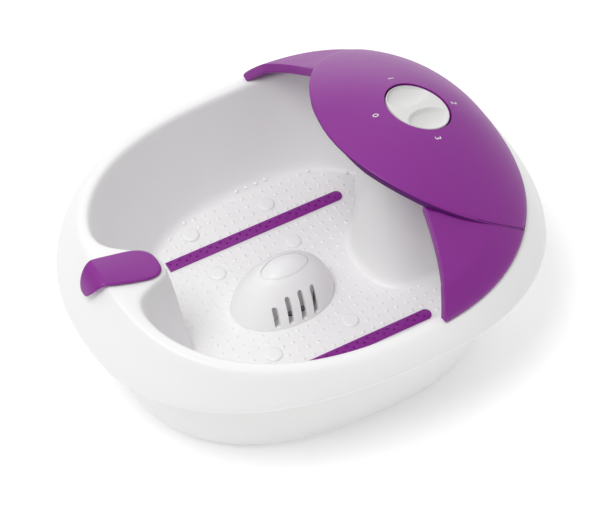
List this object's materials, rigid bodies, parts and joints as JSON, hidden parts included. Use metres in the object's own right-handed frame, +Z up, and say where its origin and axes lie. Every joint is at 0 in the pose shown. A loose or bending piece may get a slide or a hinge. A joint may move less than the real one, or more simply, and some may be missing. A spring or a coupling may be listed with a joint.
{
  "type": "foot spa basin",
  "caption": "Bubbling foot bath tub with a slotted arch massager, a lift-off domed splash cover at the toe end and a rotary dial standing through the cover.",
  "frame": {"origin": "on the ground under the middle of the bounding box", "axes": "+Z up, +Y from the heel end with the pouring spout to the toe end with the dial, +X to the right of a user whose toes point along +Y"},
  "size_m": [0.336, 0.402, 0.2132],
  "materials": {
    "white_plastic": "satin moulded",
    "purple_plastic": "satin moulded",
    "lens_plastic": "translucent white",
    "rubber": "matt",
    "grey_plastic": "matt",
    "circuit_board": "lacquered",
    "lamp_glass": "clear red",
    "steel": "plain",
    "brass": "plain"
  },
  "bodies": {
    "basin": {"tub": "white_plastic", "base_shell": "white_plastic", "rubber_foot_toe_left": "rubber", "rubber_foot_toe_right": "rubber", "rubber_foot_heel_left": "rubber", "rubber_foot_heel_right": "rubber", "base_screw_1_left": "steel", "base_screw_1_right": "steel", "base_screw_2_left": "steel", "base_screw_2_right": "steel", "base_screw_3_left": "steel", "base_screw_3_right": "steel", "cord_gland": "rubber", "rotary_switch": "grey_plastic", "bubble_strip_left": "purple_plastic", "bubble_strip_right": "purple_plastic", "magnet_cap_1_left": "white_plastic", "magnet_cap_1_right": "white_plastic", "magnet_cap_2_left": "white_plastic", "magnet_cap_2_right": "white_plastic", "magnet_cap_3_left": "white_plastic", "magnet_cap_3_right": "white_plastic", "magnet_cap_4_left": "white_plastic", "magnet_cap_4_right": "white_plastic", "massage_hump": "white_plastic", "lamp_window": "lens_plastic", "spout_pad": "purple_plastic", "lamp_housing": "grey_plastic", "lamp_gasket": "rubber", "infrared_lamp": "lamp_glass", "lamp_socket": "grey_plastic", "heater_plate": "steel", "thermostat": "brass", "blower_housing": "grey_plastic", "blower_motor": "steel", "air_riser": "grey_plastic", "air_manifold_left": "grey_plastic", "air_manifold_right": "grey_plastic", "air_hose_left": "rubber", "air_hose_right": "rubber", "vibration_motor": "steel", "motor_clamp": "steel", "circuit_board": "circuit_board", "terminal_block": "grey_plastic"},
    "dial": {"control_knob": "white_plastic", "switch_shaft": "steel"},
    "splash_cover": {"cover_panel": "purple_plastic", "cover_frame": "purple_plastic"},
    "blower_rotor": {"blower_impeller": "grey_plastic"},
    "vibration_rotor": {"eccentric_weight": "steel"}
  },
  "joints": [
    {"name": "dial_turn", "type": "hinge", "parent": "basin", "child": "dial", "pos_m": [0, 0.108, 0.2007], "axis": [0, 0.342, 0.9397], "range_deg": [-270, 0]},
    {"name": "cover_lift", "type": "slide", "parent": "basin", "child": "splash_cover", "axis": [0, 0.342, 0.9397], "range_m": [0, 0.08]},
    {"name": "blower_turn", "type": "hinge", "parent": "basin", "child": "blower_rotor", "pos_m": [0, 0.105, 0.076], "axis": [0, 0, 1], "continuous": true},
    {"name": "vibration_turn", "type": "hinge", "parent": "basin", "child": "vibration_rotor", "pos_m": [0.024, -0.088, 0.017], "axis": [1, 0, 0], "continuous": true}
  ]
}
